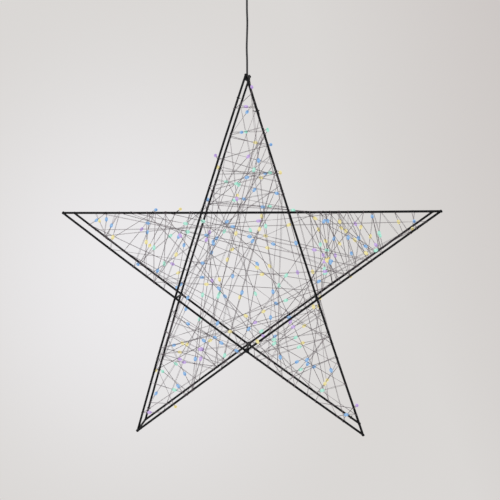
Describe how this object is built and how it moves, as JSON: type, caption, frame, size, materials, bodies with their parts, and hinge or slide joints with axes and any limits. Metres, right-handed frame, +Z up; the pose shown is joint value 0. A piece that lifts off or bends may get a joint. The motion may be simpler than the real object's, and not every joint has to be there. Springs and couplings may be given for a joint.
{
  "type": "hanging led star",
  "caption": "Hanging double star of thin black wire rods, wound all over with a fine wire string of small pastel LED beads, on a black cord with a hook loop.",
  "frame": {"origin": "the point inside the cord's loop where a hook or nail bears, under the top of the loop", "axes": "+X to the viewer's right along the star's width, +Y from the front star to the rear star, +Z up along the cord"},
  "size_m": [0.5808, 0.0771, 0.7066],
  "materials": {
    "frame_enamel": "satin black enamel on steel wire",
    "cord_jacket": "matte black lead jacket",
    "sleeve_plastic": "matte black shrink sleeve, tie and end cap",
    "twine": "tight black twine",
    "string_wire": "thin lacquered wire, dark grey with a bare metal sheen",
    "bead_mint": "lit clear resin bead",
    "bead_sky": "lit clear resin bead",
    "bead_yellow": "lit clear resin bead",
    "bead_violet": "lit clear resin bead"
  },
  "bodies": {
    "loop": {"cord_loop": "cord_jacket"},
    "knot": {"loop_knot": "cord_jacket"},
    "cord": {"hanging_cord": "cord_jacket", "tip_knot": "cord_jacket"},
    "star": {"lead_along_rod": "cord_jacket", "front_rod_left_to_right": "frame_enamel", "front_rod_right_to_lower_left": "frame_enamel", "front_rod_lower_left_to_top": "frame_enamel", "front_rod_top_to_lower_right": "frame_enamel", "front_rod_lower_right_to_left": "frame_enamel", "rear_rod_left_to_right": "frame_enamel", "rear_rod_right_to_lower_left": "frame_enamel", "rear_rod_lower_left_to_top": "frame_enamel", "rear_rod_top_to_lower_right": "frame_enamel", "rear_rod_lower_right_to_left": "frame_enamel", "tip_spacer_left": "frame_enamel", "tip_spacer_right": "frame_enamel", "tip_spacer_lower_left": "frame_enamel", "tip_spacer_top": "frame_enamel", "tip_spacer_lower_right": "frame_enamel", "corner_spacer_upper_left": "frame_enamel", "corner_spacer_right": "frame_enamel", "corner_spacer_left": "frame_enamel", "corner_spacer_upper_right": "frame_enamel", "corner_spacer_bottom": "frame_enamel", "splice_sleeve": "sleeve_plastic", "lead_tie": "sleeve_plastic", "string_end_cap": "sleeve_plastic", "rod_hitch_top": "twine", "rod_hitch_lower_left": "twine", "rod_hitch_lower_right": "twine", "light_string": "string_wire"}
  },
  "joints": [
    {"name": "knot_swivel", "type": "hinge", "parent": "loop", "child": "knot", "pos_m": [0, 0, -0.0286], "axis": [0, 0, 1], "range_deg": [-180, 180]},
    {"name": "cord_swing", "type": "hinge", "parent": "knot", "child": "cord", "pos_m": [0, 0, -0.0286], "axis": [1, 0, 0], "range_deg": [-25, 25]},
    {"name": "star_swing", "type": "hinge", "parent": "cord", "child": "star", "pos_m": [0, 0, -0.1571], "axis": [0, 1, 0], "range_deg": [-30, 30]}
  ]
}
